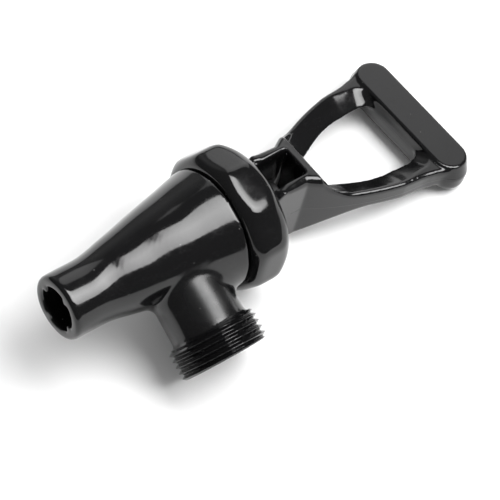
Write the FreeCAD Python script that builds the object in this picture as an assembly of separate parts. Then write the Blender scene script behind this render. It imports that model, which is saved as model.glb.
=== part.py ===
# Beverage dispenser spigot: a tapered body with a side shank, a ten-sided bonnet
# and a D handle that lifts a silicone seat cup off its seat when it is pulled.
#
# Frame: millimetres, +Z up along the body. The origin is the centre of the
# shank's thread, the shank points along +Y and the stream leaves downward.

import FreeCAD
import Part
import math
import os

Vec = FreeCAD.Vector

# General clearances
running_gap = 0.25         # between faces that pass each other in use
bore_fit = 0.06            # radial, on the stem and on the cross pin
screwed_gap = 0.15         # radial, between threads that are drawn as plain cylinders

# Shank
shank_reach = 29.1         # centre of the thread to the body's axis
neck_radius = 11.0
thread_radius = 13.2       # outside of the external thread
thread_length = 9.0
thread_chamfer = 1.0
inlet_radius = 7.5

# Body, a tapered spout
spout_drop = 37.0          # shank axis down to the outlet end
spout_radius = 9.5
spout_rim_round = 1.2
spout_straight = 12.5
spout_bend_radius = 40.0   # blends the straight end into the taper
shoulder_height = 15.0     # shank axis up to the face that the bonnet meets
shoulder_radius = 18.0
outlet_radius = 6.5
chamber_radius = 13.2
chamber_wall = 2.3         # between the chamber and the taper outside it
neck_fillet = 3.4

# Straightening ribs inside the outlet
rib_count = 4
rib_proud = 1.1
rib_width = 2.0
rib_length = 16.0
rib_setback = 0.7
rib_turn = 8.0             # degrees, first rib from +X

# Valve seat inside the body
seat_height = -9.5
seat_lip_width = 1.2
seat_lip_rise = 1.6

# Threaded boss on top of the body
boss_radius = 16.0
boss_height = 6.4
boss_chamfer = 0.8

# Bonnet
bonnet_sides = 10
bonnet_corner_radius = 21.4
bonnet_turn = 7.5          # degrees, first corner from +X
bonnet_height = 13.7
bonnet_rim_radius = 18.6
bonnet_low_chamfer = 2.9
bonnet_high_chamfer = 3.5
bonnet_top_radius = 18.4
bonnet_edge_round = 0.8
bonnet_roof = 3.6
spring_pocket_radius = 7.6

# Seat cup, silicone
cup_flange = 1.6
cup_flange_inset = 0.4
cup_base_radius = 8.2
cup_base = 4.2
cup_base_edge = 0.6
cup_sole = 1.2             # under the stem's button
cup_wall = 1.3
cup_waist_radius = 8.5     # outside, up to where the inlet ends
cup_waist_gap = 0.6        # the waist ends this far above the inlet
cup_mouth_radius = 12.4
cup_mouth_depth = 3.0      # straight part below the rim

# Stem and cross pin
stem_radius = 2.4
stem_flange_radius = 6.2
stem_flange = 1.4
stem_button_radius = 4.0
stem_button = 1.6
stem_head_radius = 4.1
stem_head_rise = 3.6       # above the pin axis
stem_head_round = 0.6
pin_radius = 1.5
pin_chamfer = 0.25

# Spring
spring_wire_radius = 0.55
spring_radius = 5.0
spring_half_turns = 12
spring_wire_sides = 8      # the wire is drawn as a fine prism
spring_seat_gap = 0.05

# Handle, front to back
handle_turn = 65.0         # degrees about Z, from the bar being square to the shank
pin_height = 6.0           # pin axis above the foot's flat sole
lift_per_radian = 4.5      # stem lift for each radian of tilt
tilt_limit = 60.0          # degrees
foot_front = 11.7
foot_back = 12.6
foot_lean = 0.4            # the foot's front leans back over its cross wall
foot_side_height = 13.4    # sole up to where the sides start to flare
foot_height = 17.1         # sole up to the top of the cross wall
arm_front = 4.4
arm_back = 3.9
front_sweep = 12.5         # height over which the foot's front runs back into the arms
front_sweep_bow = 1.6      # how far the front sweep bellies out
back_sweep = 20.0          # the same at the back, above the foot's sides
back_sweep_bow = 2.2       # how far the back sweep bellies out
bar_front = 3.1
bar_back = 6.0
bar_back_round = 3.2
bar_face_round = 0.6
bar_ease = 11.0            # height over which the arms run into the bar's depth

# Handle, seen from the front
foot_width = 15.5
cheek_wall = 3.0
cross_wall = 3.3
pocket_round = 1.2
pin_socket = 1.7           # depth of each blind socket in a cheek
arm_span = 18.9            # half width across the arms, outside
arm_span_height = 43.0
arm_knee = 0.55            # how early the arms bulge, as a share of their widening
arm_knee_height = 25.7
arm_flare = 0.8            # widening from the span to the bar
arm_flare_height = 52.7
bar_height = 61.4          # sole up to the bar's centre line
bar_length = 43.2
bar_width = 10.4
bar_end_round = 4.8
bar_end_rise = 2.5         # lower edge of the bar up to where its ends are widest

# Finger opening, bevelled from both sides down to a lip between the arms
lip_plane = 1.0            # the lip stands this far in front of the body axis
lip_low = 19.5             # sole up to the lower end of the opening
lip_inset_low = 5.4        # from the outside of an arm in to the lip, at the foot
lip_inset_high = 7.0       # the same at the span
lip_top_gap = 1.6          # lip below the bar's lower edge
front_ridge = 1.3          # width left at the front of an arm
back_ridge = 3.4
opening_round = 4.0

# Values that follow from the ones above
axis_y = -shank_reach
shoulder_z = shoulder_height
boss_top_z = shoulder_z + boss_height
roof_under_z = boss_top_z + cup_flange
bonnet_top_z = shoulder_z + bonnet_height
spring_roof_z = bonnet_top_z - bonnet_roof
spout_end_z = -spout_drop
taper_start_z = spout_end_z + spout_straight
taper_slope = (shoulder_radius - spout_radius) / (shoulder_z - taper_start_z)
chamber_floor_z = seat_height - seat_lip_rise
cup_base_top_z = seat_height + cup_base
flange_top_z = cup_base_top_z + stem_flange
sole_z = bonnet_top_z + running_gap
pin_z = sole_z + pin_height
foot_top_z = sole_z + foot_height
flare_z = sole_z + foot_side_height
pocket_half = foot_width / 2 - cheek_wall
handle_depth = 2 * max(foot_front, foot_back) + 4
span_z = sole_z + arm_span_height
bar_low_z = sole_z + bar_height - bar_width / 2
bar_high_z = bar_low_z + bar_width


def face_of(edges):
    """Flat face inside a closed chain of edges."""
    return Part.Face(Part.Wire(edges))


def polyline(points):
    """Edges joining the points in order."""
    return [Part.LineSegment(a, b).toShape() for a, b in zip(points, points[1:])]


def turned(points):
    """Solid turned about Z from a closed (radius, height) outline."""
    corners = [Vec(r, 0, z) for r, z in points]
    return face_of(polyline(corners + [corners[0]])).revolve(Vec(), Vec(0, 0, 1), 360)


def cross_bar(radius, half):
    """Round bar on the cross pin's axis."""
    return Part.makeCylinder(radius, 2 * half, Vec(-half, 0, pin_z), Vec(1, 0, 0))


def shank_bar(radius, y_from, y_to):
    """Round bar on the shank axis."""
    return Part.makeCylinder(radius, y_to - y_from, Vec(0, y_from, 0), Vec(0, 1, 0))


def is_circle(edge):
    return isinstance(edge.Curve, Part.Circle)


# Body


def taper_radius(z):
    """Outside radius of the taper at a height."""
    return spout_radius + (z - taper_start_z) * taper_slope


def spout_solid():
    """Turned outside of the body with its threaded boss."""
    taper = math.atan(taper_slope)
    tangent = spout_bend_radius * math.tan(taper / 2)
    bend_start = Vec(spout_radius, 0, taper_start_z - tangent)
    bend_end = Vec(spout_radius + tangent * math.sin(taper), 0,
                   taper_start_z + tangent * math.cos(taper))
    bend_centre = bend_start + Vec(spout_bend_radius, 0, 0)
    bend_mid = bend_centre + Vec(-math.cos(taper / 2), 0, math.sin(taper / 2)) * spout_bend_radius
    rim_start = Vec(spout_radius - spout_rim_round, 0, spout_end_z)
    rim_end = Vec(spout_radius, 0, spout_end_z + spout_rim_round)
    rim_centre = Vec(rim_start.x, 0, rim_end.z)
    rim_mid = rim_centre + Vec(1, 0, -1) * (spout_rim_round * math.sqrt(0.5))
    edges = [
        Part.LineSegment(Vec(0, 0, spout_end_z), rim_start).toShape(),
        Part.Arc(rim_start, rim_mid, rim_end).toShape(),
        Part.LineSegment(rim_end, bend_start).toShape(),
        Part.Arc(bend_start, bend_mid, bend_end).toShape(),
    ]
    edges += polyline([
        bend_end,
        Vec(shoulder_radius, 0, shoulder_z),
        Vec(boss_radius, 0, shoulder_z),
        Vec(boss_radius, 0, boss_top_z - boss_chamfer),
        Vec(boss_radius - boss_chamfer, 0, boss_top_z),
        Vec(0, 0, boss_top_z),
        Vec(0, 0, spout_end_z),
    ])
    return face_of(edges).revolve(Vec(), Vec(0, 0, 1), 360)


def chamber_solid():
    """Space inside the body: chamber, seat lip and outlet bore."""
    lean = chamber_wall * math.sqrt(1 + taper_slope ** 2)
    floor_radius = taper_radius(chamber_floor_z) - lean
    full_z = taper_start_z + (chamber_radius + lean - spout_radius) / taper_slope
    lip_inner = outlet_radius
    lip_outer = outlet_radius + seat_lip_width
    return turned([
        (0, spout_end_z - 1),
        (lip_inner, spout_end_z - 1),
        (lip_inner, seat_height - seat_lip_width / 4),
        (lip_inner + seat_lip_width / 4, seat_height),
        (lip_outer - seat_lip_width / 4, seat_height),
        (lip_outer, seat_height - seat_lip_width / 4),
        (lip_outer, chamber_floor_z),
        (floor_radius, chamber_floor_z),
        (chamber_radius, full_z),
        (chamber_radius, boss_top_z + 1),
        (0, boss_top_z + 1),
    ])


def outlet_ribs():
    """Ribs that straighten the stream inside the outlet."""
    root = outlet_radius + 0.5
    length = root - (outlet_radius - rib_proud)
    ribs = []
    for index in range(rib_count):
        rib = Part.makeBox(length, rib_width, rib_length,
                           Vec(outlet_radius - rib_proud, -rib_width / 2, spout_end_z + rib_setback))
        inner = [e for e in rib.Edges if abs(e.BoundBox.XMax - (outlet_radius - rib_proud)) < 1e-6
                 and e.BoundBox.ZLength > rib_length / 2]
        rib = rib.makeFillet(rib_width * 0.3, inner)
        rib.rotate(Vec(), Vec(0, 0, 1), rib_turn + index * 360 / rib_count)
        ribs.append(rib)
    return ribs


def neck_seam(shell):
    """Edges where the neck runs into the taper."""
    seam = []
    for edge in shell.Edges:
        middle = edge.valueAt((edge.FirstParameter + edge.LastParameter) / 2)
        on_neck = abs(math.hypot(middle.x, middle.z) - neck_radius) < 0.05
        if on_neck and not is_circle(edge) and not isinstance(edge.Curve, Part.Line):
            seam.append(edge)
    return seam


def make_body():
    spout = spout_solid()
    spout.translate(Vec(0, axis_y, 0))
    neck = shank_bar(neck_radius, axis_y + 1, 0)
    shell = spout.fuse(neck)
    shell = shell.makeFillet(neck_fillet, neck_seam(shell))
    collar = shank_bar(thread_radius, -thread_length / 2, thread_length / 2)
    collar = collar.makeChamfer(thread_chamfer, [e for e in collar.Edges if is_circle(e)])
    shell = shell.fuse(collar)
    chamber = chamber_solid()
    chamber.translate(Vec(0, axis_y, 0))
    inlet = shank_bar(inlet_radius, axis_y + chamber_radius / 2, thread_length / 2 + 1)
    shell = shell.cut(chamber.fuse(inlet))
    ribs = outlet_ribs()
    for rib in ribs:
        rib.translate(Vec(0, axis_y, 0))
    return shell.fuse(ribs).removeSplitter()


# Bonnet


def make_bonnet():
    low_z = shoulder_z
    top_z = bonnet_top_z
    blank = turned([
        (0, low_z),
        (bonnet_rim_radius, low_z),
        (bonnet_corner_radius, low_z + bonnet_low_chamfer),
        (bonnet_corner_radius, top_z - bonnet_high_chamfer),
        (bonnet_top_radius, top_z),
        (0, top_z),
    ])
    corners = []
    for index in range(bonnet_sides + 1):
        angle = math.radians(bonnet_turn + index * 360 / bonnet_sides)
        corners.append(Vec(math.cos(angle), math.sin(angle), 0) * bonnet_corner_radius)
    prism = face_of(polyline(corners)).extrude(Vec(0, 0, top_z))
    bonnet = blank.common(prism)
    sharp = [e for e in bonnet.Edges if e.BoundBox.ZLength > bonnet_low_chamfer
             and isinstance(e.Curve, Part.Line)]
    bonnet = bonnet.makeFillet(bonnet_edge_round, sharp)
    bore = turned([
        (0, low_z - 1),
        (boss_radius + screwed_gap, low_z - 1),
        (boss_radius + screwed_gap, roof_under_z),
        (spring_pocket_radius, roof_under_z),
        (spring_pocket_radius, spring_roof_z),
        (stem_radius + bore_fit, spring_roof_z),
        (stem_radius + bore_fit, top_z + 1),
        (0, top_z + 1),
    ])
    bonnet = bonnet.cut(bore)
    bonnet.translate(Vec(0, axis_y, 0))
    return bonnet


# Valve parts


def make_seat_cup():
    """Bell-shaped diaphragm whose thick base closes the seat."""
    mouth_z = boss_top_z
    bell_z = mouth_z - cup_mouth_depth
    waist_z = inlet_radius + cup_waist_gap
    rim = boss_radius - cup_flange_inset
    base_top = cup_base_top_z
    button_low = seat_height + cup_sole
    button_high = button_low + stem_button
    cup = turned([
        (0, seat_height),
        (cup_base_radius - cup_base_edge, seat_height),
        (cup_base_radius, seat_height + cup_base_edge),
        (cup_base_radius, base_top),
        (cup_waist_radius, waist_z),
        (cup_mouth_radius, bell_z),
        (cup_mouth_radius, mouth_z),
        (rim, mouth_z),
        (rim, roof_under_z),
        (cup_mouth_radius - cup_wall, roof_under_z),
        (cup_mouth_radius - cup_wall, bell_z),
        (cup_waist_radius - cup_wall, waist_z),
        (cup_base_radius - cup_wall, base_top),
        (stem_radius + bore_fit, base_top),
        (stem_radius + bore_fit, button_high),
        (stem_button_radius + bore_fit, button_high),
        (stem_button_radius + bore_fit, button_low),
        (0, button_low),
    ])
    cup.translate(Vec(0, axis_y, 0))
    return cup


def make_stem():
    """Turned stem: button held in the cup, flange under the spring, cross-drilled head."""
    button_z = seat_height + cup_sole
    head_low = sole_z + running_gap
    head_high = pin_z + stem_head_rise
    stem = turned([
        (0, button_z),
        (stem_button_radius, button_z),
        (stem_button_radius, button_z + stem_button),
        (stem_radius, button_z + stem_button),
        (stem_radius, cup_base_top_z),
        (stem_flange_radius, cup_base_top_z),
        (stem_flange_radius, flange_top_z),
        (stem_radius, flange_top_z),
        (stem_radius, head_high),
        (0, head_high),
    ])
    head = Part.makeCylinder(stem_head_radius, head_high - head_low, Vec(0, 0, head_low))
    rims = [e for e in head.Edges if is_circle(e)]
    stem = stem.fuse(head.makeFillet(stem_head_round, rims))
    hole = cross_bar(pin_radius, 2 * stem_head_radius)
    return placed_with_handle(stem.cut(hole).removeSplitter())


def make_pin():
    """Cross pin, a press fit in the stem and free in the cheeks."""
    pin = cross_bar(pin_radius, pocket_half + pin_socket - running_gap / 2)
    rims = [e for e in pin.Edges if is_circle(e)]
    return placed_with_handle(pin.makeChamfer(pin_chamfer, rims))


def make_spring():
    """Compression spring between the stem flange and the bonnet roof, in leaning half turns."""
    low = flange_top_z + spring_wire_radius + spring_seat_gap
    high = spring_roof_z - spring_wire_radius - spring_seat_gap
    rise = (high - low) / spring_half_turns
    rim = []
    for index in range(spring_wire_sides):
        angle = 2 * math.pi * (index + 0.5) / spring_wire_sides
        rim.append(Vec(math.cos(angle), 0, math.sin(angle)) * spring_wire_radius)
    half_turns = []
    for index in range(spring_half_turns):
        side = 1 if index % 2 == 0 else -1
        start = Vec(side * spring_radius, 0, low + index * rise)
        section = [start + point for point in rim]
        lean = Vec(side * rise, 0, 2 * spring_radius)
        middle = Vec(0, 0, start.z + rise / 2)
        half_turns.append(face_of(polyline(section + section[:1])).revolve(middle, lean, 180))
    coil = half_turns[0].fuse(half_turns[1:])
    coil.translate(Vec(0, axis_y, 0))
    return coil


# Handle, drawn with the bar along X and its face toward -Y


def placed_with_handle(shape):
    """Turns a piece with the handle and moves it onto the body axis."""
    shape.rotate(Vec(), Vec(0, 0, 1), handle_turn)
    shape.translate(Vec(0, axis_y, 0))
    return shape


def cam_point(angle):
    """Point of the foot that touches the bonnet when the handle is tilted by an angle."""
    drop = pin_height + lift_per_radian * angle
    forward = drop * math.sin(angle) + lift_per_radian * math.cos(angle)
    down = drop * math.cos(angle) - lift_per_radian * math.sin(angle)
    return forward, pin_z - down


def cam_edge(sign):
    """Curve of the foot, whose lift grows evenly with the tilt."""
    steps = 6
    points = []
    for index in range(steps + 1):
        forward, height = cam_point(math.radians(tilt_limit) * index / steps)
        points.append(Vec(0, sign * forward, height))
    curve = Part.BSplineCurve()
    curve.interpolate(points)
    return curve.toShape(), points[0], points[-1]


def round_corner(before, corner, after, radius):
    """Tangent arc in a square corner of an outline, with its two ends."""
    start = corner + (before - corner).normalize() * radius
    end = corner + (after - corner).normalize() * radius
    centre = start + end - corner
    middle = centre + (corner - centre).normalize() * radius
    return Part.Arc(start, middle, end).toShape(), start, end


def sweep(start, pull, end):
    """Curve that leaves start towards pull and reaches end coming from pull."""
    curve = Part.BezierCurve()
    curve.setPoles([start, pull, end])
    return curve.toShape()


def foot_outline():
    """Front half of the foot between the arms, up to the top of the cross wall."""
    front_cam, front_sole, front_end = cam_edge(-1)
    edges = [front_cam]
    edges += polyline([
        front_end,
        Vec(0, -foot_front, flare_z),
        Vec(0, -foot_front + foot_lean, foot_top_z),
        Vec(0, 0, foot_top_z),
        Vec(0, 0, sole_z),
        front_sole,
    ])
    return face_of(edges)


def side_outline():
    """Handle seen along the bar: foot with its cams, arms and bar."""
    front_cam, front_sole, front_end = cam_edge(-1)
    back_cam, back_sole, back_end = cam_edge(1)
    front_foot = Vec(0, -foot_front, flare_z)
    front_pull = Vec(0, -arm_front - front_sweep_bow, flare_z + front_sweep / 3)
    front_arm = Vec(0, -arm_front, flare_z + front_sweep)
    back_foot = Vec(0, foot_back, flare_z)
    back_pull = Vec(0, arm_back + back_sweep_bow, flare_z + back_sweep / 2)
    back_arm = Vec(0, arm_back, flare_z + back_sweep)
    face_low = Vec(0, -bar_front, bar_low_z)
    face_high = Vec(0, -bar_front, bar_high_z)
    spine_high = Vec(0, bar_back, bar_high_z)
    spine_low = Vec(0, bar_back, bar_low_z)
    under = Vec(0, 0, bar_low_z)
    brow_arc, brow_start, brow_end = round_corner(face_low, face_high, spine_high, bar_face_round)
    high_arc, high_start, high_end = round_corner(face_high, spine_high, spine_low, bar_back_round)
    low_arc, low_start, low_end = round_corner(spine_high, spine_low, under, bar_back_round)
    edges = [front_cam]
    edges += polyline([front_end, front_foot])
    edges.append(sweep(front_foot, front_pull, front_arm))
    edges += polyline([front_arm, Vec(0, -arm_front, bar_low_z - bar_ease), face_low, brow_start])
    edges.append(brow_arc)
    edges += polyline([brow_end, high_start])
    edges.append(high_arc)
    edges += polyline([high_end, low_start])
    edges.append(low_arc)
    edges += polyline([low_end, Vec(0, arm_back, bar_low_z - bar_ease), back_arm])
    edges.append(sweep(back_arm, back_pull, back_foot))
    edges += polyline([back_foot, back_end])
    edges += [back_cam, Part.LineSegment(back_sole, front_sole).toShape()]
    return face_of(edges)


def mirrored(half):
    """Closed wire from its right half, given from the lower to the upper end."""
    right = Part.Wire(half)
    left = right.mirror(Vec(), Vec(1, 0, 0))
    low = half[0].Vertexes[0].Point
    high = half[-1].Vertexes[-1].Point
    top = Part.LineSegment(high, Vec(-high.x, high.y, high.z)).toShape()
    bottom = Part.LineSegment(Vec(-low.x, low.y, low.z), low).toShape()
    return Part.Wire(right.OrderedEdges + [top] + left.OrderedEdges[::-1] + [bottom])


def arm_outside():
    """Arc of an arm's outer side, from the foot to the span."""
    knee = Vec(foot_width / 2 + (arm_span - foot_width / 2) * arm_knee, 0, sole_z + arm_knee_height)
    return Part.Arc(Vec(foot_width / 2, 0, flare_z), knee, Vec(arm_span, 0, span_z)).toShape()


def arm_half(z):
    """Half width across the arms at a height below the span."""
    circle = arm_outside().Curve
    return circle.Center.x + math.sqrt(circle.Radius ** 2 - (z - circle.Center.z) ** 2)


def front_outline():
    """Handle seen square to its face: foot, flared arms and the bar's round ends."""
    half_bar = bar_length / 2
    swell = bar_end_round * (1 - math.sqrt(0.5))
    neck = Vec(arm_span + arm_flare, 0, sole_z + arm_flare_height)
    end_low = Vec(half_bar, 0, bar_low_z + bar_end_rise)
    end_high = Vec(half_bar, 0, bar_high_z - bar_end_round)
    end_mid = Vec(half_bar - swell, 0, bar_high_z - swell)
    end_top = Vec(half_bar - bar_end_round, 0, bar_high_z)
    foot_side = polyline([Vec(foot_width / 2, 0, sole_z - 1), Vec(foot_width / 2, 0, flare_z)])
    flank = polyline([Vec(arm_span, 0, span_z), neck, end_low, end_high])
    end = Part.Arc(end_high, end_mid, end_top).toShape()
    return Part.Face(mirrored(foot_side + [arm_outside()] + flank + [end]))


def opening_wire(y, inset_low, inset_high, top_z):
    """Outline of the finger opening in one plane, set in from the arms' outside."""
    low_z = sole_z + lip_low
    knee_z = (low_z + span_z) / 2
    inset_knee = (inset_low + inset_high) / 2
    base = Vec(arm_half(low_z) - inset_low, y, low_z)
    knee = Vec(arm_half(knee_z) - inset_knee, y, knee_z)
    span = Vec(arm_span - inset_high, y, span_z)
    wall_end = Vec(arm_span + arm_flare / 2 - inset_high, y, top_z - opening_round)
    swell = opening_round * (1 - math.sqrt(0.5))
    corner_mid = Vec(wall_end.x - swell, y, top_z - swell)
    top = Vec(wall_end.x - opening_round, y, top_z)
    return mirrored([
        Part.Arc(base, knee, span).toShape(),
        Part.LineSegment(span, wall_end).toShape(),
        Part.Arc(wall_end, corner_mid, top).toShape(),
    ])


def finger_opening():
    """Opening between the arms, bevelled from both sides to its lip."""
    lip_z = bar_low_z - lip_top_gap
    slope = lip_top_gap / (bar_front - lip_plane)
    front_top = lip_z + (arm_front - lip_plane) * slope
    lip = opening_wire(-lip_plane, lip_inset_low, lip_inset_high, lip_z)
    front = opening_wire(-arm_front, front_ridge, front_ridge, front_top)
    back = opening_wire(arm_back, back_ridge, back_ridge, bar_low_z)
    ahead = Part.Face(front).extrude(Vec(0, arm_front - handle_depth / 2, 0))
    behind = Part.Face(back).extrude(Vec(0, handle_depth / 2 - arm_back, 0))
    return [ahead, Part.makeLoft([front, lip], True, True), Part.makeLoft([lip, back], True, True), behind]


def bar_end_cutters():
    """What is taken off to round the back of the bar's ends."""
    cutters = []
    for side in (-1, 1):
        centre_x = side * (bar_length / 2 - bar_back_round)
        low = Vec(min(centre_x, centre_x + side * (bar_back_round + 1)),
                  bar_back - bar_back_round, bar_low_z - bar_ease)
        block = Part.makeBox(bar_back_round + 1, bar_back_round + 1, bar_width + bar_ease + 1, low)
        core = Part.makeCylinder(bar_back_round, bar_width + bar_ease + 1, Vec(centre_x, low.y, low.z))
        cutters.append(block.cut(core))
    return cutters


def fork_pocket():
    """Gap between the cheeks, open at the front, at the back and below."""
    roof = foot_top_z - cross_wall
    pocket = Part.makeBox(2 * pocket_half, handle_depth, roof - sole_z + 1,
                          Vec(-pocket_half, -handle_depth / 2, sole_z - 1))
    upper = [e for e in pocket.Edges if e.BoundBox.ZMin > roof - 0.1
             and e.BoundBox.YLength > pocket_half]
    return pocket.makeFillet(pocket_round, upper)


def make_handle():
    across = side_outline().extrude(Vec(bar_length + 4, 0, 0))
    across.translate(Vec(-bar_length / 2 - 2, 0, 0))
    through = front_outline().extrude(Vec(0, handle_depth, 0))
    through.translate(Vec(0, -handle_depth / 2, 0))
    handle = across.common(through)
    for cutter in finger_opening() + bar_end_cutters():
        handle = handle.cut(cutter)
    foot = foot_outline().extrude(Vec(foot_width, 0, 0))
    foot.translate(Vec(-foot_width / 2, 0, 0))
    handle = handle.fuse(foot).removeSplitter().cut(fork_pocket())
    handle = handle.cut(cross_bar(pin_radius + bore_fit, pocket_half + pin_socket))
    return placed_with_handle(handle)


os.makedirs("parts", exist_ok=True)
for name, build in (("body", make_body), ("bonnet", make_bonnet), ("seat_cup", make_seat_cup),
                    ("stem", make_stem), ("handle_pin", make_pin), ("spring", make_spring),
                    ("handle", make_handle)):
    shape = build()
    print(name, len(shape.Solids), round(shape.Volume, 1))
    shape.exportStep("parts/%s.step" % name)
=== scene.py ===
import bpy
import bmesh
import math
from mathutils import Euler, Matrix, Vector, noise


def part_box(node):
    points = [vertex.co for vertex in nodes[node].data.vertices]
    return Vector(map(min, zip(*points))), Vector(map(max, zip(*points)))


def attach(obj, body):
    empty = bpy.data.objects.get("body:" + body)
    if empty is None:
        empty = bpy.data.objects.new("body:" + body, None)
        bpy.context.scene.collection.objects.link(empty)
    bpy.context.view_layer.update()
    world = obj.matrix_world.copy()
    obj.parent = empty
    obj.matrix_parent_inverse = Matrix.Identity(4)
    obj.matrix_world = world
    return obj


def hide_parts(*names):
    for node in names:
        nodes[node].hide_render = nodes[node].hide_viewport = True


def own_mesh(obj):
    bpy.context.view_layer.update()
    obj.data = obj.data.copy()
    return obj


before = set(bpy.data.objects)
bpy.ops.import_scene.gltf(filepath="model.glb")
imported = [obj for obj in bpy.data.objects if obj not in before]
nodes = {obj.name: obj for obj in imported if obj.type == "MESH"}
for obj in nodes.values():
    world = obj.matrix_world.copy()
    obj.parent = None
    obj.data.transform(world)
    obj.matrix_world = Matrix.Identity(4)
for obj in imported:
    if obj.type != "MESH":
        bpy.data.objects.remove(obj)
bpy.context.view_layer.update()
mm = 0.001
shankAxisY = -29.1 * mm  # where the body's axis stands, with the shank's thread at zero

# camera, worked out from the outline of the spigot
cameraView = {
    "place": (0.535106, -0.01477, -0.272418),
    "turnDegrees": (139.0049, -50.1859, 48.907),
    "lens": 158.474,
    "filmWidth": 36.0,
    "clip": (0.01, 30),  # nearest and farthest that it sees
}

# the table that the spigot lies on, given by its upward direction
table = {
    "up": (0.8858, -0.4130, -0.1993),
    "right": (0.4112, 0.4871, 0.7705),  # towards the right of the picture
    "height": -13.53 * mm,  # along up, where thread and bar touch it
    "half": 4.0,  # half of its width in metres
    "paleness": 0.88,
}

# soft boxes, each corner as degrees to the right and away from straight above the table
softBox = {
    "corners": ((-1, 22), (39, 22), (62, -13), (21, -18)),
    "distance": 1.1,
    "strength": 13.5,
    "edgeFade": 0.3,
}
fillCard = {
    "corners": ((-12, 84), (36, 84), (36, 42), (-12, 42)),
    "distance": 1.3,
    "strength": 1.9,
    "edgeFade": 0.3,
}
sideCard = {
    "corners": ((-45, 84), (-12, 84), (-12, 45), (-45, 45)),
    "distance": 1.35,
    "strength": 0.4,
    "edgeFade": 0.4,
}
studio = {"backdrop": 1.0, "ambient": 0.12, "tableFill": 0.3}  # the fill lights matt surfaces only


def linked(name, data):
    obj = bpy.data.objects.new(name, data)
    bpy.context.scene.collection.objects.link(obj)
    return obj


def addCamera(view):
    data = bpy.data.cameras.new("photoCamera")
    data.sensor_width = view["filmWidth"]
    data.lens = view["lens"]
    data.clip_start, data.clip_end = view["clip"]
    camera = linked("photoCamera", data)
    camera.location = view["place"]
    camera.rotation_euler = Euler([math.radians(a) for a in view["turnDegrees"]])
    bpy.context.scene.camera = camera


addCamera(cameraView)
print("stage: camera placed")

tableUp = Vector(table["up"]).normalized()
tableRight = (Vector(table["right"]) - Vector(table["right"]).dot(tableUp) * tableUp).normalized()
tableAway = tableUp.cross(tableRight)


def studioDirection(right, away):
    # a direction that leans right and away from straight up by these degrees
    lean = math.radians(math.hypot(right, away))
    turn = math.atan2(away, right)
    flat = math.cos(turn) * tableRight + math.sin(turn) * tableAway
    return math.cos(lean) * tableUp + math.sin(lean) * flat


class NodeKit:
    # short calls for building a material's nodes
    def __init__(self, name):
        self.material = bpy.data.materials.new(name)
        self.material.use_nodes = True
        self.tree = self.material.node_tree
        self.tree.nodes.clear()
        self.output = self.add("ShaderNodeOutputMaterial")

    def add(self, kind, **settings):
        node = self.tree.nodes.new(kind)
        for key, value in settings.items():
            setattr(node, key, value)
        return node

    def join(self, source, target):
        self.tree.links.new(source, target)

    def place(self, stretch=(1, 1, 1), turn=(0, 0, 0)):
        coords = self.add("ShaderNodeTexCoord")
        mapping = self.add("ShaderNodeMapping")
        mapping.inputs["Scale"].default_value = stretch
        mapping.inputs["Rotation"].default_value = [math.radians(a) for a in turn]
        self.join(coords.outputs["Object"], mapping.inputs["Vector"])
        return mapping.outputs["Vector"]

    def noise(self, where, scale, detail=2.0, rough=0.5):
        node = self.add("ShaderNodeTexNoise")
        node.inputs["Scale"].default_value = scale
        node.inputs["Detail"].default_value = detail
        node.inputs["Roughness"].default_value = rough
        self.join(where, node.inputs["Vector"])
        return node.outputs["Fac"]

    def span(self, value, low, high, toLow=0.0, toHigh=1.0):
        node = self.add("ShaderNodeMapRange")
        for key, number in (("From Min", low), ("From Max", high), ("To Min", toLow), ("To Max", toHigh)):
            node.inputs[key].default_value = number
        self.join(value, node.inputs["Value"])
        return node.outputs["Result"]

    def math(self, operation, first, second):
        node = self.add("ShaderNodeMath", operation=operation)
        for index, value in enumerate((first, second)):
            if isinstance(value, (int, float)):
                node.inputs[index].default_value = value
            else:
                self.join(value, node.inputs[index])
        return node.outputs["Value"]

    def colours(self, factor, low, high):
        node = self.add("ShaderNodeMix", data_type="RGBA")
        node.inputs["A"].default_value = (*low, 1)
        node.inputs["B"].default_value = (*high, 1)
        self.join(factor, node.inputs["Factor"])
        return node.outputs["Result"]

    def bump(self, height, strength, distance, after=None):
        node = self.add("ShaderNodeBump")
        node.inputs["Strength"].default_value = strength
        node.inputs["Distance"].default_value = distance
        self.join(height, node.inputs["Height"])
        if after is not None:
            self.join(after, node.inputs["Normal"])
        return node.outputs["Normal"]


def floorMaterial(look):
    # plain pale table, clear to a camera that looks from underneath
    kit = NodeKit("paleTable")
    diffuse = kit.add("ShaderNodeBsdfDiffuse")
    diffuse.inputs["Color"].default_value = (look["paleness"],) * 3 + (1,)
    clear = kit.add("ShaderNodeBsdfTransparent")
    geometry = kit.add("ShaderNodeNewGeometry")
    path = kit.add("ShaderNodeLightPath")
    fromBelow = kit.math("MULTIPLY", geometry.outputs["Backfacing"], path.outputs["Is Camera Ray"])
    mix = kit.add("ShaderNodeMixShader")
    kit.join(fromBelow, mix.inputs["Fac"])
    kit.join(diffuse.outputs["BSDF"], mix.inputs[1])
    kit.join(clear.outputs["BSDF"], mix.inputs[2])
    kit.join(mix.outputs["Shader"], kit.output.inputs["Surface"])
    return kit.material


def addTable(look):
    centre = tableUp * look["height"]
    half = look["half"]
    corners = [centre + half * (x * tableRight + y * tableAway)
               for x, y in ((-1, -1), (1, -1), (1, 1), (-1, 1))]
    mesh = bpy.data.meshes.new("tableTop")
    mesh.from_pydata(corners, [], [(0, 1, 2, 3)])
    mesh.materials.append(floorMaterial(look))
    linked("tableTop", mesh)


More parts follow.
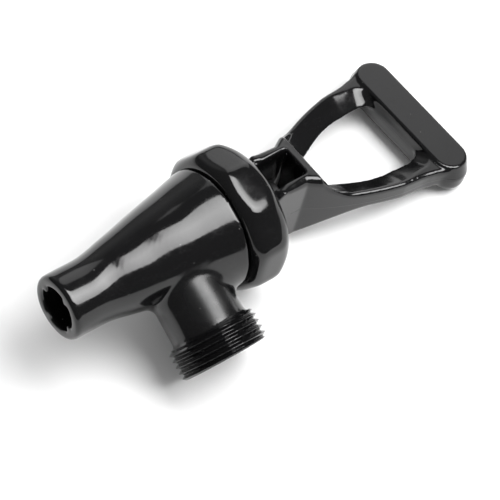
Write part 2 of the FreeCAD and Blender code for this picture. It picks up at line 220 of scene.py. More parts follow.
def panelMaterial(name, look):
    kit = NodeKit(name)
    coords = kit.add("ShaderNodeUVMap", uv_map="panel")
    split = kit.add("ShaderNodeSeparateXYZ")
    kit.join(coords.outputs["UV"], split.inputs["Vector"])
    light = None
    for axis in ("X", "Y"):
        off = kit.math("ABSOLUTE", kit.math("SUBTRACT", split.outputs[axis], 0.5), 0.0)
        part = kit.span(off, 0.0, 0.5, 1.0, 1.0 - look["edgeFade"])
        light = part if light is None else kit.math("MULTIPLY", light, part)
    glow = kit.add("ShaderNodeEmission")
    kit.join(kit.math("MULTIPLY", light, look["strength"]), glow.inputs["Strength"])
    kit.join(glow.outputs["Emission"], kit.output.inputs["Surface"])
    return kit.material


def addPanel(name, look):
    directions = [studioDirection(*corner) for corner in look["corners"]]
    facing = sum(directions, Vector()).normalized()
    corners = [d * (look["distance"] / d.dot(facing)) for d in directions]
    mesh = bpy.data.meshes.new(name)
    mesh.from_pydata(corners, [], [(0, 1, 2, 3)])
    layer = mesh.uv_layers.new(name="panel")
    for loop, uv in zip(layer.data, ((0, 1), (1, 1), (1, 0), (0, 0))):
        loop.uv = uv
    mesh.materials.append(panelMaterial(name, look))
    panel = linked(name, mesh)
    panel.visible_camera = False


def addWorld(look):
    world = bpy.data.worlds.new("studio")
    world.use_nodes = True
    tree = world.node_tree
    tree.nodes.clear()
    path = tree.nodes.new("ShaderNodeLightPath")
    seen = tree.nodes.new("ShaderNodeBackground")
    seen.inputs["Strength"].default_value = look["backdrop"]
    seen.inputs["Color"].default_value = (1, 1, 1, 1)
    dim = tree.nodes.new("ShaderNodeBackground")
    dim.inputs["Color"].default_value = (1, 1, 1, 1)
    level = tree.nodes.new("ShaderNodeMapRange")
    level.inputs["To Min"].default_value = look["ambient"] + look["tableFill"]
    level.inputs["To Max"].default_value = look["ambient"]
    tree.links.new(path.outputs["Is Glossy Ray"], level.inputs["Value"])
    tree.links.new(level.outputs["Result"], dim.inputs["Strength"])
    mix = tree.nodes.new("ShaderNodeMixShader")
    output = tree.nodes.new("ShaderNodeOutputWorld")
    tree.links.new(path.outputs["Is Camera Ray"], mix.inputs["Fac"])
    tree.links.new(dim.outputs["Background"], mix.inputs[1])
    tree.links.new(seen.outputs["Background"], mix.inputs[2])
    tree.links.new(mix.outputs["Shader"], output.inputs["Surface"])
    bpy.context.scene.world = world
    bpy.context.scene.view_settings.view_transform = "Standard"


addTable(table)
addPanel("softBox", softBox)
addPanel("fillCard", fillCard)
addPanel("sideCard", sideCard)
addWorld(studio)
print("stage: table and lights set")


# glossy moulded plastic

glossyBlack = {
    "colour": (0.0045, 0.0045, 0.0048),
    "refraction": 1.49,
    "roughness": (0.07, 0.13),  # from the smoothest swirl to the dullest
    "swirlSize": 420.0,
    "swirlShare": (0.3, 0.7),
    "grain": (2600, 0.06, 0.02 * mm),  # size, strength and height
    "scratchRoughness": 0.35,
    "scratchTurns": ((10, 35, 20), (-35, 60, 75)),  # degrees, one for each of two directions
    "scratchStretch": (1, 14, 1),
    "scratchSize": 900,
    "scratchWidth": 0.006,
    "scratchDent": (0.25, -0.01 * mm),  # strength and height
    "scratchedStretch": (1, 2.5, 1),
    "scratchedSize": 160,
    "scratchedShare": (0.58, 0.66),  # scratches lie only where the noise is above these
    "dustColour": (0.16, 0.16, 0.155),
    "dustSize": 700,
    "dustEdge": (0.05, 0.10),
    "dustShare": (0.90, 0.91),  # one cell in ten holds a speck
    "dustBump": (0.4, 0.03 * mm),
}


def addScratches(kit, look):
    # hairlines in two directions
    lines = None
    for turn in look["scratchTurns"]:
        streak = kit.noise(kit.place(look["scratchStretch"], turn), look["scratchSize"], 1)
        off = kit.math("ABSOLUTE", kit.math("SUBTRACT", streak, 0.5), 0)
        thin = kit.span(off, 0.0, look["scratchWidth"], 1, 0)
        where = kit.noise(kit.place(look["scratchedStretch"], turn), look["scratchedSize"], 1)
        part = kit.math("MULTIPLY", thin, kit.span(where, *look["scratchedShare"]))
        lines = part if lines is None else kit.math("MAXIMUM", lines, part)
    return lines


def addDust(kit, surface, look):
    # specks, each in the middle of its own cell
    dots = kit.add("ShaderNodeTexVoronoi")
    dots.inputs["Scale"].default_value = look["dustSize"]
    kit.join(surface, dots.inputs["Vector"])
    near = kit.span(dots.outputs["Distance"], *look["dustEdge"], 1, 0)
    split = kit.add("ShaderNodeSeparateColor")
    kit.join(dots.outputs["Color"], split.inputs["Color"])
    return kit.math("MULTIPLY", near, kit.span(split.outputs["Red"], *look["dustShare"]))


def addDullPatch(kit, dull):
    # how much rougher the surface is around one place
    coords = kit.add("ShaderNodeTexCoord")
    gap = kit.add("ShaderNodeVectorMath", operation="DISTANCE")
    gap.inputs[1].default_value = dull["place"]
    kit.join(coords.outputs["Object"], gap.inputs[0])
    return kit.span(gap.outputs["Value"], dull["core"], dull["reach"], dull["roughness"], 0)


def addSeam(kit, surface, seam):
    # the fine line where the two halves of the mould met
    coords = kit.add("ShaderNodeTexCoord")
    depth = kit.add("ShaderNodeVectorMath", operation="DOT_PRODUCT")
    depth.inputs[1].default_value = seam["across"]
    kit.join(coords.outputs["Object"], depth.inputs[0])
    wander = kit.span(kit.noise(surface, seam["wanderSize"], 1), 0, 1, -seam["wander"], seam["wander"])
    off = kit.math("SUBTRACT", kit.math("ADD", depth.outputs["Value"], wander), seam["place"])
    return kit.span(kit.math("ABSOLUTE", off, 0), seam["core"], seam["width"], 1, 0)


def glossyPlastic(name, look, dull=None, seam=None):
    kit = NodeKit(name)
    surface = kit.place()
    roughness = kit.span(kit.noise(surface, look["swirlSize"], 3), *look["swirlShare"], *look["roughness"])
    scratches = addScratches(kit, look)
    dust = addDust(kit, surface, look)
    if dull is not None:
        roughness = kit.math("ADD", roughness, addDullPatch(kit, dull))
    scratched = kit.math("MULTIPLY", scratches, look["scratchRoughness"])
    shader = kit.add("ShaderNodeBsdfPrincipled")
    shader.inputs["IOR"].default_value = look["refraction"]
    kit.join(kit.colours(dust, look["colour"], look["dustColour"]), shader.inputs["Base Color"])
    kit.join(kit.math("ADD", roughness, scratched), shader.inputs["Roughness"])
    grainSize, grainStrength, grainHeight = look["grain"]
    normal = kit.bump(kit.noise(surface, grainSize, 2), grainStrength, grainHeight)
    normal = kit.bump(scratches, *look["scratchDent"], normal)
    normal = kit.bump(dust, *look["dustBump"], normal)
    if seam is not None:
        normal = kit.bump(addSeam(kit, surface, seam), *seam["bump"], normal)
    kit.join(normal, shader.inputs["Normal"])
    kit.join(shader.outputs["BSDF"], kit.output.inputs["Surface"])
    return kit.material


# silicone, acetal and steel of the valve

milkySilicone = {
    "colours": ((0.70, 0.69, 0.66), (0.80, 0.79, 0.76)),
    "cloudSize": 300,
    "cloudShare": (0.3, 0.7),
    "roughness": (0.38, 0.5),
    "scatter": 0.25,
    "scatterDepth": (1.6 * mm, 1.5 * mm, 1.4 * mm),
    "grain": (2200, 0.15, 0.02 * mm),  # size, strength and height
}
darkAcetal = {
    "colours": ((0.003, 0.003, 0.0032), (0.006, 0.006, 0.0062)),
    "cloudSize": 500,
    "ringSize": 900,
    "ringWander": 0.6,
    "roughness": (0.42, 0.52),
    "shine": 0.3,
    "ringBump": (0.12, 0.02 * mm),
}
brightSteel = {
    "colours": ((0.52, 0.52, 0.53), (0.66, 0.66, 0.66)),
    "cloudSize": 600,
    "ringSize": 1400,
    "ringWander": 3,
    "roughness": (0.2, 0.34),
    "ringBump": (0.1, 0.01 * mm),
}


def satinSilicone(look):
    kit = NodeKit("milkySilicone")
    surface = kit.place()
    shader = kit.add("ShaderNodeBsdfPrincipled")
    cloud = kit.noise(surface, look["cloudSize"], 3)
    kit.join(kit.colours(cloud, *look["colours"]), shader.inputs["Base Color"])
    kit.join(kit.span(cloud, *look["cloudShare"], *look["roughness"]), shader.inputs["Roughness"])
    shader.inputs["Subsurface Weight"].default_value = look["scatter"]
    shader.inputs["Subsurface Radius"].default_value = look["scatterDepth"]
    shader.inputs["Subsurface Scale"].default_value = 1.0
    grainSize, grainStrength, grainHeight = look["grain"]
    normal = kit.bump(kit.noise(surface, grainSize, 2), grainStrength, grainHeight)
    kit.join(normal, shader.inputs["Normal"])
    kit.join(shader.outputs["BSDF"], kit.output.inputs["Surface"])
    return kit.material


def turnedSurface(kit, look, ringDirection, clouds):
    # fine rings left by turning or drawing, over cloudy colour
    surface = kit.place()
    shader = kit.add("ShaderNodeBsdfPrincipled")
    rings = kit.add("ShaderNodeTexWave", bands_direction=ringDirection)
    rings.inputs["Scale"].default_value = look["ringSize"]
    rings.inputs["Distortion"].default_value = look["ringWander"]
    kit.join(surface, rings.inputs["Vector"])
    cloud = kit.noise(surface, look["cloudSize"], clouds)
    kit.join(kit.colours(cloud, *look["colours"]), shader.inputs["Base Color"])
    kit.join(kit.span(rings.outputs["Fac"], 0, 1, *look["roughness"]), shader.inputs["Roughness"])
    kit.join(kit.bump(rings.outputs["Fac"], *look["ringBump"]), shader.inputs["Normal"])
    kit.join(shader.outputs["BSDF"], kit.output.inputs["Surface"])
    return shader


def satinAcetal(look):
    kit = NodeKit("darkAcetal")
    shader = turnedSurface(kit, look, "Z", 2)
    shader.inputs["Specular IOR Level"].default_value = look["shine"]
    return kit.material


def drawnSteel(name, look, ringDirection):
    kit = NodeKit(name)
    shader = turnedSurface(kit, look, ringDirection, 3)
    shader.inputs["Metallic"].default_value = 1.0
    return kit.material


# helpers for soft moulded forms

smoothingFactor = 0.5
waveShift = (1, 0.37, -0.61)  # times the seed: where in the noise a piece's waves are taken from


def applied(obj):
    # the object's mesh as its modifiers leave it
    depsgraph = bpy.context.evaluated_depsgraph_get()
    mesh = bpy.data.meshes.new_from_object(obj.evaluated_get(depsgraph))
    old = obj.data
    obj.modifiers.clear()
    obj.data = mesh
    bpy.data.meshes.remove(old)
    return mesh


def eased(value, low, high):
    share = min(1.0, max(0.0, (value - low) / (high - low)))
    return share * share * (3 - 2 * share)


def rounded(piece, name, weightAt, rounds):
    # eases the form only where weightAt gives a weight
    group = piece.vertex_groups.new(name=name)
    for vertex in piece.data.vertices:
        weight = weightAt(vertex.co)
        if weight > 0:
            group.add([vertex.index], weight, "REPLACE")
    smooth = piece.modifiers.new(name, "SMOOTH")
    smooth.vertex_group = name
    smooth.factor = smoothingFactor
    smooth.iterations = rounds
    mesh = applied(piece)
    piece.vertex_groups.clear()
    return mesh


def regrained(piece, grain, rounding):
    # even fine faces over the whole form, with its edges eased
    remesh = piece.modifiers.new("grain", "REMESH")
    remesh.mode = "VOXEL"
    remesh.voxel_size = grain
    if rounding:
        smooth = piece.modifiers.new("round", "SMOOTH")
        smooth.factor = smoothingFactor
        smooth.iterations = rounding
    return applied(piece)


def copyOfNode(nodeName, pieceName, weld, reshape=None):
    mesh = nodes[nodeName].data.copy()
    mesh.materials.clear()
    build = bmesh.new()
    build.from_mesh(mesh)
    bmesh.ops.remove_doubles(build, verts=build.verts, dist=weld)
    if reshape is not None:
        reshape(build)
    build.to_mesh(mesh)
    build.free()
    return linked(pieceName, mesh)


def shadeSmooth(mesh):
    mesh.polygons.foreach_set("use_smooth", [True] * len(mesh.polygons))


def ripple(mesh, look):
    # slow unevenness of a moulded wall
    shift = Vector([look["waveSeed"] * share for share in waveShift])
    moved = []
    for vertex in mesh.vertices:
        swell = noise.noise(vertex.co / look["waveLength"] + shift)
        moved.append(vertex.co + vertex.normal * (swell * look["waveHeight"]))
    for vertex, place in zip(mesh.vertices, moved):
        vertex.co = place
    mesh.update()
    shadeSmooth(mesh)


def softenedCopy(nodeName, pieceName, look, reshape=None):
    # the node's own form with the rounded edges of a moulding
    piece = copyOfNode(nodeName, pieceName, look["weld"], reshape)
    ripple(regrained(piece, look["grain"], look["rounding"]), look)
    return piece


def madePiece(name, places, faces, sharp):
    # a closed piece from its own points, smooth but for edges sharper than these degrees
    mesh = bpy.data.meshes.new(name)
    mesh.from_pydata(places, [], faces)
    build = bmesh.new()
    build.from_mesh(mesh)
    bmesh.ops.recalc_face_normals(build, faces=build.faces)
    build.to_mesh(mesh)
    build.free()
    shadeSmooth(mesh)
    mesh.set_sharp_from_angle(angle=math.radians(sharp))
    return linked(name, mesh)


# body with its neck and the core of its collar

bodyLook = {
    "weld": 0.001 * mm,
    "grain": 0.41 * mm,
    "rounding": 12,
    "waveHeight": 0.13 * mm,
    "waveLength": 9 * mm,
    "waveSeed": 3.1,
}
sinkLook = {
    "angle": -2.0,  # degrees from +X, the middle of the rippled strip
    "half": 45.0,
    "height": 0.025 * mm,
    "levels": ((-30.0, 0.3), (-22.5, 1.0), (-13.5, 1.0), (-8.5, 0.0)),  # height in millimetres and share
    "wall": 1.5 * mm,  # less than the spout's wall, so that the bore isn't touched
}
threadLook = {
    "crest": 13.2 * mm,
    "core": 12.05 * mm,
    "pitch": 1.814 * mm,
    "low": -4.4 * mm,
    "high": 4.5 * mm,
    "lead": 1.0 * mm,
    "crestFlat": 0.07,
    "rootFlat": 0.04,
    "around": 300,
    "along": 150,
    "fade": 0.18,
    "trimFrom": 0.3 * mm,  # this far before the first turn the solid's collar is cut back
    "wall": 0.4 * mm,  # thickness under the roots
    "sharp": 50.0,  # degrees
}
ribLook = {
    "solidTurn": 8.0,  # degrees, where the solid's first rib stands
    "turn": -2.0,
    "boreRadius": 6.5 * mm,
    "solidProud": 1.1 * mm,
    "proud": 1.3 * mm,
    "solidHalfWidth": 1.0 * mm,
    "tipHalfWidth": 0.85 * mm,
    "rootHalfWidth": 1.5 * mm,
    "endZ": -37.0 * mm,
    "setback": 0.7 * mm,
    "inset": 0.02 * mm,  # the ribs end this far inside the outlet's rim
    "length": 16.7 * mm,
    "near": 0.03 * mm,  # allowance in telling which points of the solid are a rib's
}


def shapeBody(build):
    trimCollar(build)
    shapeRibs(build, ribLook)


def trimCollar(build):
    # the collar's cylinder goes back to the root of its thread
    core = threadLook["core"]
    for vertex in build.verts:
        radius = math.hypot(vertex.co.x, vertex.co.z)
        if vertex.co.y > threadLook["low"] - threadLook["trimFrom"] and radius > core:
            vertex.co.x *= core / radius
            vertex.co.z *= core / radius


def shapeRibs(build, look):
    # ribs of the outlet: wider at the root, flush with its end, turned as they stand
    near = look["near"]
    for vertex in build.verts:
        x, y = vertex.co.x, vertex.co.y - shankAxisY
        radius = math.hypot(x, y)
        if vertex.co.z > look["endZ"] + look["length"] + near or radius > look["boreRadius"] + near:
            continue
        angle = math.degrees(math.atan2(y, x)) - look["solidTurn"]
        quarter = round(angle / 90) * 90
        off = math.radians(angle - quarter)
        across = radius * math.sin(off)
        onRib = abs(across) < look["solidHalfWidth"] + near
        atRoot = radius > look["boreRadius"] - near
        if onRib:
            half = look["rootHalfWidth"] if atRoot else look["tipHalfWidth"]
            if not atRoot:
                taller = look["proud"] / look["solidProud"]
                radius = look["boreRadius"] - (look["boreRadius"] - radius) * taller
            off = math.asin(across * half / look["solidHalfWidth"] / radius)
            if vertex.co.z < look["endZ"] + look["setback"] + near and vertex.co.z > look["endZ"] + near:
                vertex.co.z = look["endZ"] + look["inset"]
        turned = math.radians(quarter + look["turn"]) + off
        vertex.co.x = radius * math.cos(turned)
        vertex.co.y = shankAxisY + radius * math.sin(turned)


def threadHeight(phase, look):
    # share of the full depth at a phase of one pitch
    off = abs(phase - 0.5) * 2
    flank = 1 - look["crestFlat"] - look["rootFlat"]
    share = (1 - look["rootFlat"] - off) / flank
    return min(1.0, max(0.0, share))


def addThread(look):
    around = look["around"]
    along = look["along"]
    depth = look["crest"] - look["core"]
    rows = []
    for step in range(along + 1):
        y = look["low"] + (look["high"] - look["low"]) * step / along
        toEnd = min(y - look["low"], look["high"] - y)
        room = look["core"] + depth * min(1.0, toEnd / look["lead"] + look["fade"])
        row = []
        for turn in range(around):
            angle = 2 * math.pi * turn / around
            phase = (y / look["pitch"] - turn / around) % 1.0
            radius = look["core"] + depth * threadHeight(phase, look)
            row.append((min(radius, room), y, angle))
        rows.append(row)
    inner = look["core"] - look["wall"]
    for y in (look["high"], look["low"]):
        rows.append([(inner, y, 2 * math.pi * turn / around) for turn in range(around)])
    places = [(r * math.cos(a), y, r * math.sin(a)) for row in rows for r, y, a in row]
    faces = []
    for index in range(len(rows)):
        after = (index + 1) % len(rows)
        for turn in range(around):
            following = (turn + 1) % around
            faces.append((index * around + turn, after * around + turn,
                          after * around + following, index * around + following))
    return madePiece("shankThread", places, faces, look["sharp"])


def sinkMarks(mesh, look):
    # shallow steps along the spout, where the moulding sank unevenly
    for vertex in mesh.vertices:
        x, y = vertex.co.x, vertex.co.y - shankAxisY
        off = (math.degrees(math.atan2(y, x)) - look["angle"]) / look["half"]
        radius = math.hypot(x, y)
        if abs(off) > 1 or radius < ribLook["boreRadius"] + look["wall"]:
            continue
        share = look["levels"][-1][1]
        height = vertex.co.z / mm
        for (low, before), (high, after) in zip(look["levels"], look["levels"][1:]):
            if height < high:
                share = before + (after - before) * eased(height, low, high)
                break
        swell = share * look["height"] * math.sin(math.pi * off) * (1 - off * off)
        vertex.co.x += swell * x / radius
        vertex.co.y += swell * y / radius
    mesh.update()


plastic = glossyPlastic("glossyBlackPlastic", glossyBlack)
dullNeck = {
    "place": (10.5 * mm, -12 * mm, -1.6 * mm),
    "core": 5.5 * mm,  # dullest within this distance
    "reach": 11 * mm,  # and as glossy as the rest beyond this one
    "roughness": 0.2,
}
bodyPlastic = glossyPlastic("glossyBlackBody", glossyBlack, dull=dullNeck)

bodyShell = softenedCopy("body", "bodyShell", bodyLook, shapeBody)
sinkMarks(bodyShell.data, sinkLook)
bodyShell.data.materials.append(bodyPlastic)
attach(bodyShell, "housing")
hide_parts("body")

shankThread = addThread(threadLook)
shankThread.data.materials.append(plastic)
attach(shankThread, "housing")
print("stage: body", len(bodyShell.data.polygons), "and thread", len(shankThread.data.polygons))


# bonnet

bonnetLook = {
    "weld": 0.001 * mm,
    "grain": 0.36 * mm,
    "rounding": 4,
    "waveHeight": 0.05 * mm,
    "waveLength": 7 * mm,
    "waveSeed": 8.4,
    "softRadius": (13 * mm, 16 * mm),  # outside this the edges are rounded more
    "softRounds": 130,
}


def outsideOfBonnet(place):
    return eased(math.hypot(place.x, place.y - shankAxisY), *bonnetLook["softRadius"])


bonnetShell = softenedCopy("bonnet", "bonnetShell", bonnetLook)
rounded(bonnetShell, "outside", outsideOfBonnet, bonnetLook["softRounds"])
bonnetShell.data.materials.append(plastic)
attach(bonnetShell, "housing")
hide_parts("bonnet")
print("stage: bonnet", len(bonnetShell.data.polygons))


# handle

handleLook = {
    "weld": 0.001 * mm,
    "firstGrain": 0.3 * mm,
    "grain": 0.3 * mm,
    "rounding": 8,
    "waveHeight": 0.03 * mm,
    "waveLength": 9 * mm,
    "waveSeed": 5.7,
    "blendHeight": 3.6,  # how far from the bar's underside the arms are blended into it
    "blendRounds": 50,
    "blendFade": (0.4, 1.0),  # shares of that height between which the blending fades
    "blendSide": (8, 12),  # it grows between these distances from the middle
    "blendDepth": (0.5, 1.6),  # and between these behind the bar's face
}

# outlines of the handle in millimetres, each point as depth or half width, then height;
# three points are a curve that leaves the first towards the second and ends at the third,
# and those of the solid are what the arms are bent from
handleShape = {
    "turn": 65.0,  # degrees, from the bar being square to the shank
    "solidLip": 1.0,  # the solid's lip stands this far in front of the body's axis
    "lipBehind": 0.3,  # the real one stands this far behind it
    "lipRise": (79.0, 83.5, 0.9),  # under the bar the lip is higher by the last value
    "lipRiseSide": (12, 17),  # which fades between these distances from the middle
    "solidFront": (((11.7, 28.95), (11.7, 42.35)), ((11.7, 42.35), (6.0, 46.52), (4.4, 54.85)),
                   ((4.4, 54.85), (4.4, 74.15)), ((4.4, 74.15), (3.1, 85.15))),
    "front": (((11.7, 28.95), (11.7, 42.35)), ((11.7, 42.35), (11.3, 46.3)),
              ((11.3, 46.3), (3.48, 51.3), (3.3, 57.3)), ((3.3, 57.3), (2.4, 87.15))),
    "solidBack": (((12.6, 28.95), (12.6, 42.35)), ((12.6, 42.35), (6.1, 52.35), (3.9, 62.35)),
                  ((3.9, 62.35), (3.9, 74.15)), ((3.9, 74.15), (2.8, 85.15))),
    "back": (((12.6, 28.95), (12.6, 34.0)), ((12.6, 34.0), (13.5, 38.0)), ((13.5, 38.0), (13.5, 42.35)),
             ((13.5, 42.35), (3.56, 55.36), (3.9, 62.85)), ((3.9, 62.85), (5.0, 87.15))),
    "footHalf": 7.75,
    "footTop": 46.05,
    "footInside": 0.15,  # a place this far inside the foot's outline is on its front
    "flare": 42.35,
    "knee": (13.8825, 54.65),
    "span": (18.9, 71.95),
    "neck": (19.7, 81.65),
    "frontRound": 1.2,
    "backRound": 1.7,
    "roundFrom": (33.0, 36.0),  # the cams keep their edges below this
    "pocketHalf": 4.75,
    "pocketRoof": 42.75,
    "pocketRise": 1.1,
    "pocketRiseFades": (4, 3),  # below and above the roof
    "pocketRiseSide": (0.1, 1.2),  # and outside the pocket's walls
    "flareOut": (78.0, 87.2, 2.3),  # from and to these heights the arms spread by so much more
    "flareSide": (12, 19),  # which grows between these distances from the middle
    "lipIn": (52.0, 68.0, 1.9, 0.7),  # between these heights the lip's extra inset falls to its least
    "lipInFrom": 1.0,  # it starts this far above the foot
    "lipInEdge": (0.8, 2.6),  # and fades towards the outer edge
    "lipInMiddle": (0, 4),  # and towards the middle
    "cornerRound": (31.0, 46.0, 52.0, 1.6),  # extra rounding of the foot's front edges and upper corners
    "pocketRound": 0.9,
}
barShape = {
    "cut": 85.1,  # the arms end here and run on into the bar
    "sink": 2.05,
    "middleZ": 90.35,
    "flatHalf": 16.9,
    "radius": 5.25,
    "face": -3.1,
    "waist": 1.4,
    "swell": 0.75,
    "endSwell": 0.9,  # the ends swell by this much more
    "back": 7.0,
    "faceRound": 0.4,
    "backRound": 3.0,
    "around": 160,
    "roundSteps": 8,
}


def towardsHandle(place):
    # across the arms, front to back and up, in millimetres from the body's axis
    turn = math.radians(handleShape["turn"])
    x, y = place.x / mm, (place.y - shankAxisY) / mm
    return x * math.cos(turn) + y * math.sin(turn), y * math.cos(turn) - x * math.sin(turn), place.z / mm


def fromHandle(across, depth, height):
    turn = math.radians(handleShape["turn"])
    x = across * math.cos(turn) - depth * math.sin(turn)
    y = across * math.sin(turn) + depth * math.cos(turn)
    return Vector((x * mm, y * mm + shankAxisY, height * mm))


def outlineAt(pieces, height):
    # depth of an outline at a height
    for piece in pieces:
        if height <= piece[-1][1]:
            break
    start, end = piece[0], piece[-1]
    if len(piece) == 2:
        share = min(1.0, max(0.0, (height - start[1]) / (end[1] - start[1])))
        return start[0] + (end[0] - start[0]) * share
    bend = start[1] - 2 * piece[1][1] + end[1]
    lead = piece[1][1] - start[1]
    share = (height - start[1]) / (lead + math.sqrt(lead * lead + bend * (height - start[1])))
    return (1 - share) ** 2 * start[0] + 2 * share * (1 - share) * piece[1][0] + share ** 2 * end[0]


def circleThrough(a, b, c):
    # centre and radius of the circle through three points
    d = 2 * (a[0] * (b[1] - c[1]) + b[0] * (c[1] - a[1]) + c[0] * (a[1] - b[1]))
    squares = [p[0] ** 2 + p[1] ** 2 for p in (a, b, c)]
    x = (squares[0] * (b[1] - c[1]) + squares[1] * (c[1] - a[1]) + squares[2] * (a[1] - b[1])) / d
    y = (squares[0] * (c[0] - b[0]) + squares[1] * (a[0] - c[0]) + squares[2] * (b[0] - a[0])) / d
    return x, y, math.hypot(a[0] - x, a[1] - y)


footCorner = (handleShape["footHalf"], handleShape["flare"])
armCircle = circleThrough(footCorner, handleShape["knee"], handleShape["span"])


def flareAt(height, shape):
    low, high, most = shape["flareOut"]
    share = min(1.0, max(0.0, (height - low) / (high - low)))
    return most * share * share


def halfWidth(height, shape):
    # half width across foot and arms
    if height <= shape["flare"]:
        return shape["footHalf"]
    if height <= shape["span"][1]:
        return armCircle[0] + math.sqrt(armCircle[2] ** 2 - (height - armCircle[1]) ** 2)
    return outlineAt(((shape["span"], shape["neck"]),), height) + flareAt(height, shape)


def openTheTop(build):
    # the solid's bar comes off, and the arms run on straight into the new one
    cut = (0, 0, barShape["cut"] * mm)
    geometry = build.verts[:] + build.edges[:] + build.faces[:]
    bmesh.ops.bisect_plane(build, geom=geometry, plane_co=cut, plane_no=(0, 0, 1), clear_outer=True)
    rim = [edge for edge in build.edges if edge.is_boundary]
    raised = bmesh.ops.extrude_edge_only(build, edges=rim)["geom"]
    for item in raised:
        if isinstance(item, bmesh.types.BMVert):
            item.co.z += barShape["sink"] * mm
    bmesh.ops.holes_fill(build, edges=[edge for edge in build.edges if edge.is_boundary], sides=0)
    bmesh.ops.recalc_face_normals(build, faces=build.faces)


def curvedDepth(side, depth, height, front, back, shape):
    # takes a place on the solid's straight flats to the real handle's curves
    lip = shape["solidLip"]
    seam = shape["lipBehind"]
    inside = shape["footInside"]
    if depth < 0 and side < shape["footHalf"] - inside and height < shape["footTop"] - inside:
        return max(depth, -front)
    if depth < -lip:
        share = (-depth - lip) / (outlineAt(shape["solidFront"], height) - lip)
        return max(-front, seam - share * (front + seam))
    share = (depth + lip) / (outlineAt(shape["solidBack"], height) + lip)
    return min(back, seam + share * (back - seam))


def movedLip(side, depth, height, front, back, outer, shape):
    # the opening's lip stands further in towards the foot, and higher under the bar
    if height <= shape["footTop"] + shape["lipInFrom"]:
        return side, height
    seam = shape["lipBehind"]
    low, high, most, least = shape["lipIn"]
    inward = least + most * (1 - eased(height, low, high))
    atLip = max(0.0, 1 - abs(depth - seam) / ((front + seam) if depth < seam else (back - seam)))
    within = eased(outer - side, *shape["lipInEdge"]) * eased(side, *shape["lipInMiddle"])
    side -= inward * atLip * within
    low, high, rise = shape["lipRise"]
    height += rise * atLip * eased(height, low, high) * (1 - eased(side, *shape["lipRiseSide"]))
    return side, height


def roundOuterEdges(side, depth, height, front, back, outer, shape):
    ease = eased(height, *shape["roundFrom"])
    low, middle, high, extra = shape["cornerRound"]
    corner = extra * eased(height, low, middle) * (1 - eased(height, middle, high))
    for sign, face, radius in ((-1, front, shape["frontRound"] * ease + corner),
                               (1, back, shape["backRound"] * ease)):
        past = side - (outer - radius)
        beyond = sign * depth - (face - radius)
        reach = math.hypot(past, beyond)
        if radius > 0 and past > 0 and beyond > 0 and reach > radius:
            side = outer - radius + past * radius / reach
            depth = sign * (face - radius + beyond * radius / reach)
    return side, depth


def roundPocketEdges(side, depth, height, front, shape):
    past = shape["pocketHalf"] + shape["pocketRound"] - side
    beyond = -depth - (front - shape["pocketRound"])
    reach = math.hypot(past, beyond)
    radius = shape["pocketRound"] * eased(height, *shape["roundFrom"])
    if radius > 0 and past > 0 and beyond > 0 and reach > radius and height < shape["pocketRoof"]:
        side = shape["pocketHalf"] + shape["pocketRound"] - past * radius / reach
        depth = -(front - shape["pocketRound"] + beyond * radius / reach)
    return side, depth


def raisedRoof(side, height, shape):
    # the roof over the fork's pocket is higher than the solid's
    roof = shape["pocketRoof"]
    below, above = shape["pocketRiseFades"]
    within = 1 - eased(side - shape["pocketHalf"], *shape["pocketRiseSide"])
    near = eased(height, roof - below, roof) * (1 - eased(height, roof, roof + above))
    return height + shape["pocketRise"] * within * near


def reshapeArms(mesh, shape):
    for vertex in mesh.vertices:
        across, depth, height = towardsHandle(vertex.co)
        side = abs(across)
        if height > shape["neck"][1]:
            side = min(side, shape["neck"][0])
        side += flareAt(height, shape) * eased(side, *shape["flareSide"])
        front = outlineAt(shape["front"], height)
        back = outlineAt(shape["back"], height)
        outer = halfWidth(height, shape)
        depth = curvedDepth(side, depth, height, front, back, shape)
        side, height = movedLip(side, depth, height, front, back, outer, shape)
        side, depth = roundOuterEdges(side, depth, height, front, back, outer, shape)
        side, depth = roundPocketEdges(side, depth, height, front, shape)
        height = raisedRoof(side, height, shape)
        vertex.co = fromHandle(math.copysign(side, across), depth, height)


def barRings(shape):
    # growth of the bar's outline and the depth where it is reached, from face to back
    corner = [math.pi / 2 * step / shape["roundSteps"] for step in range(shape["roundSteps"] + 1)]
    slope = shape["swell"] / (shape["waist"] - shape["face"])
    rings = []
    for turn in corner:
        depth = shape["face"] + shape["faceRound"] * (1 - math.cos(turn))
        rings.append((shape["faceRound"] * (math.sin(turn) - 1) + slope * (depth - shape["face"]), depth))
    rings.append((shape["swell"], shape["waist"]))
    for turn in corner:
        depth = shape["back"] - shape["backRound"] * (1 - math.sin(turn))
        rings.append((shape["swell"] - shape["backRound"] * (1 - math.cos(turn)), depth))
    return rings


def addBar(build, shape):
    rows = []
    for grow, depth in barRings(shape):
        row = []
        for step in range(shape["around"]):
            turn = 2 * math.pi * (step + 0.5) / shape["around"]
            share = min(1.0, (depth - shape["face"]) / (shape["waist"] - shape["face"]))
            middle = math.copysign(shape["flatHalf"] + shape["endSwell"] * share, math.cos(turn))
            radius = shape["radius"] + grow
            row.append(build.verts.new(fromHandle(middle + radius * math.cos(turn), depth,
                                                  shape["middleZ"] + radius * math.sin(turn))))
        rows.append(row)
    count = shape["around"]
    faces = [build.faces.new((low[k], low[(k + 1) % count], high[(k + 1) % count], high[k]))
             for low, high in zip(rows, rows[1:]) for k in range(count)]
    faces += [build.faces.new(rows[0][::-1]), build.faces.new(rows[-1])]
    bmesh.ops.recalc_face_normals(build, faces=faces)


def intoTheBar(place):
    # how much a place near the bar's underside is blended, sparing the rim of its face
    across, depth, height = towardsHandle(place)
    under = barShape["middleZ"] - barShape["radius"]
    near = 1 - eased(abs(height - under) / handleLook["blendHeight"], *handleLook["blendFade"])
    beside = eased(abs(across), *handleLook["blendSide"])
    return near * beside * eased(depth - barShape["face"], *handleLook["blendDepth"])


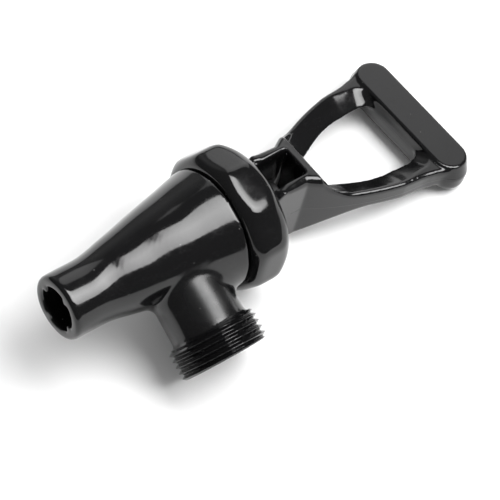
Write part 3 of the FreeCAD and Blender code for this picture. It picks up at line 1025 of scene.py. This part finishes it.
def makeHandle(look):
    piece = copyOfNode("handle", "handleShell", look["weld"], openTheTop)
    mesh = regrained(piece, look["firstGrain"], 0)
    reshapeArms(mesh, handleShape)
    build = bmesh.new()
    build.from_mesh(mesh)
    addBar(build, barShape)
    build.to_mesh(mesh)
    build.free()
    regrained(piece, look["grain"], look["rounding"])
    # the arms run into the bar in soft hollows
    ripple(rounded(piece, "junction", intoTheBar, look["blendRounds"]), look)
    return piece


partingLine = {
    "across": fromHandle(0, 1000, 0) - fromHandle(0, 0, 0),  # one metre long, front to back
    "place": 1.0 * mm + shankAxisY * math.cos(math.radians(handleShape["turn"])),  # 1 mm behind the axis
    "core": 0.048 * mm,  # at full height within this distance of its middle
    "width": 0.16 * mm,
    "wander": 0.15 * mm,
    "wanderSize": 60,
    "bump": (0.7, 0.03 * mm),  # strength and height
}
handlePlastic = glossyPlastic("glossyBlackHandle", glossyBlack, seam=partingLine)

handleShell = makeHandle(handleLook)
handleShell.data.materials.append(handlePlastic)
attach(handleShell, "handle_tilt_body")
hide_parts("handle")
print("stage: handle", len(handleShell.data.polygons))


# valve parts inside

cupLook = {
    "weld": 0.001 * mm,
    "grain": 0.28 * mm,
    "rounding": 4,
    "waveHeight": 0.02 * mm,
    "waveLength": 6 * mm,
    "waveSeed": 1.9,
    "fixedRimZ": 23.0 * mm,
    "keep": 0.854,
}
springLook = {
    "wire": 0.55 * mm,
    "radius": 5.0 * mm,
    "turns": 6.5,
    "deadTurns": 0.8,
    "deadPitch": 2.1,  # rise of a dead turn, in wire radii
    "stepsPerTurn": 44,
    "sides": 14,
    "sharp": 50.0,  # degrees
    "fixedTopZ": 25.1 * mm,
    "keep": 0.836,
}


def addSpring(look):
    # a helix of wire whose end turns lie flat
    low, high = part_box("spring")
    bottom = low.z + look["wire"]
    top = high.z - look["wire"]
    steps = int(look["turns"] * look["stepsPerTurn"])
    turnsFree = look["turns"] - 2 * look["deadTurns"]
    flatRise = look["deadPitch"] * look["wire"] * look["deadTurns"]
    centres = []
    for step in range(steps + 1):
        turn = look["turns"] * step / steps
        if turn < look["deadTurns"]:
            z = bottom + flatRise * turn / look["deadTurns"]
        elif turn > look["turns"] - look["deadTurns"]:
            z = top - flatRise * (look["turns"] - turn) / look["deadTurns"]
        else:
            free = (turn - look["deadTurns"]) / turnsFree
            z = bottom + flatRise + (top - bottom - 2 * flatRise) * free
        angle = 2 * math.pi * turn
        x, y = look["radius"] * math.cos(angle), look["radius"] * math.sin(angle)
        centres.append(Vector((x, shankAxisY + y, z)))
    places = []
    faces = []
    sides = look["sides"]
    for index, centre in enumerate(centres):
        outward = Vector((centre.x, centre.y - shankAxisY, 0)).normalized()
        for side in range(sides):
            turn = 2 * math.pi * side / sides
            around = math.cos(turn) * outward + math.sin(turn) * Vector((0, 0, 1))
            places.append(centre + look["wire"] * around)
        if index:
            for side in range(sides):
                following = (side + 1) % sides
                before = (index - 1) * sides
                here = index * sides
                faces.append((before + side, before + following, here + following, here + side))
    faces.append(tuple(range(sides)))
    faces.append(tuple(range(len(places) - sides, len(places)))[::-1])
    return madePiece("coilSpring", places, faces, look["sharp"])


seatBell = softenedCopy("seat_cup", "seatBell", cupLook)
seatBell.data.materials.append(satinSilicone(milkySilicone))
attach(seatBell, "housing")
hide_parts("seat_cup")
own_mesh(seatBell)

coilSpring = addSpring(springLook)
coilSpring.data.materials.append(drawnSteel("springWire", brightSteel, "Z"))
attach(coilSpring, "housing")
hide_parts("spring")
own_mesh(coilSpring)

plainNodes = (("stem", satinAcetal(darkAcetal)), ("handle_pin", drawnSteel("groundPin", brightSteel, "X")))
for nodeName, material in plainNodes:
    mesh = nodes[nodeName].data
    mesh.materials.clear()
    mesh.materials.append(material)
print("stage: valve parts", len(seatBell.data.polygons), len(coilSpring.data.polygons))
